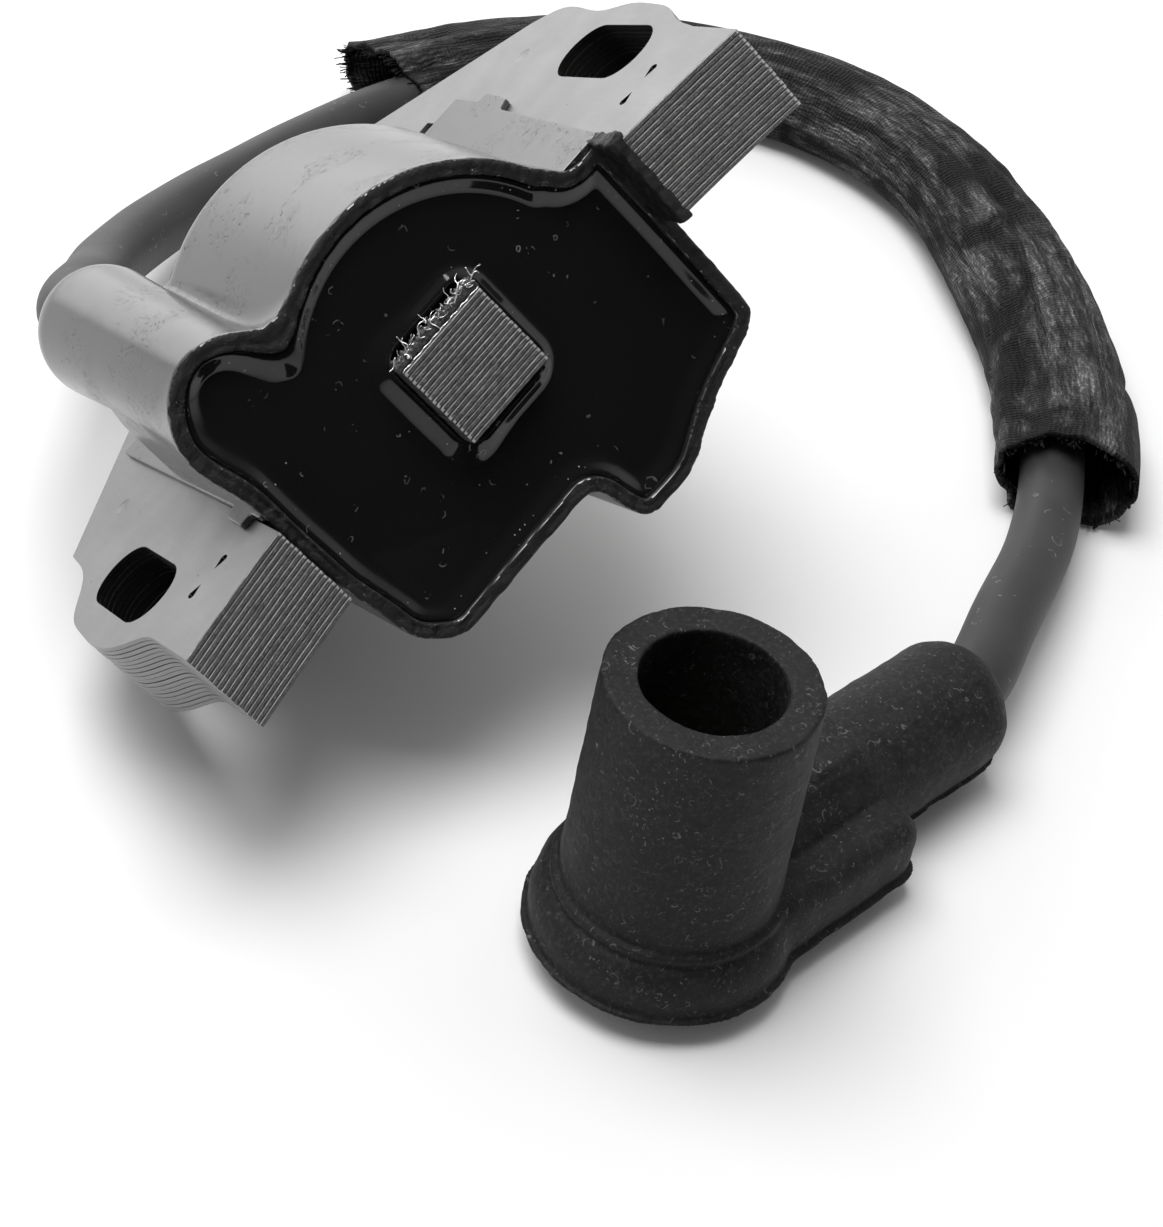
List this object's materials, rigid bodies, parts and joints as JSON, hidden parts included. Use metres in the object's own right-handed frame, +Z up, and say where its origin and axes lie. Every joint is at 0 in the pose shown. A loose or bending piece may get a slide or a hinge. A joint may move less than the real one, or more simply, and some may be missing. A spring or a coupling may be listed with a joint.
{
  "type": "ignition coil",
  "caption": "Ignition coil of a small engine: laminated core with slotted ears, potted case, sleeved high tension lead and rubber plug boot.",
  "frame": {"origin": "on the bench plane it lies on, in the middle of the part's footprint box", "axes": "+Z up, along the plug barrel's axis; +X to the right and +Y away when the open side of the case faces the viewer"},
  "size_m": [0.1192, 0.1696, 0.067],
  "materials": {
    "core_steel": "stamped satin sheet, dark ground pole faces",
    "wedge": "ragged cast",
    "case_plastic": "glossy black moulding",
    "potting": "glossy black resin",
    "bobbin": "moulded",
    "copper_wire": "enamelled wire",
    "board": "glass-fibre board",
    "component": "moulded package",
    "terminal_metal": "plain",
    "lead_rubber": "satin extruded rubber",
    "sleeve_fabric": "braided, dusty",
    "boot_rubber": "matte moulded rubber with bloom",
    "spring_steel": "wire"
  },
  "bodies": {
    "coil": {"core_laminations": "core_steel", "centre_leg_wedge": "wedge", "coil_case": "case_plastic", "potting_resin": "potting", "primary_bobbin": "bobbin", "primary_winding": "copper_wire", "secondary_bobbin": "bobbin", "secondary_winding": "copper_wire", "circuit_board": "board", "switching_transistor": "component", "trigger_capacitor": "component", "protection_diode": "component", "resistors": "component", "ht_terminal": "terminal_metal", "earth_strip": "terminal_metal", "stop_terminal": "terminal_metal", "lead_root": "lead_rubber"},
    "lead": {"lead_rear": "lead_rubber", "lead_strand": "copper_wire"},
    "sleeve": {"heat_sleeve": "sleeve_fabric"},
    "lead_tip": {"lead_front": "lead_rubber"},
    "boot": {"plug_boot": "boot_rubber", "plug_terminal": "terminal_metal", "terminal_spring": "spring_steel"}
  },
  "joints": [
    {"name": "lead_flex", "type": "hinge", "parent": "coil", "child": "lead", "pos_m": [-0.05468, -0.02276, 0.02546], "axis": [0, 0, 1], "range_deg": [-10, 10]},
    {"name": "sleeve_slide", "type": "hinge", "parent": "lead", "child": "sleeve", "pos_m": [0.0026, 0.02395, 0.0047], "axis": [0, 0, 1], "range_deg": [-2.5, 1]},
    {"name": "lead_tip_flex", "type": "hinge", "parent": "lead", "child": "lead_tip", "pos_m": [0.0456, -0.01705, 0.0058], "axis": [0, 0, 1], "range_deg": [-2, 12]},
    {"name": "boot_twist", "type": "hinge", "parent": "lead_tip", "child": "boot", "pos_m": [0.0042, -0.07285, 0.0069], "axis": [0.7071, 0.7071, 0], "range_deg": [-25, 60]}
  ]
}
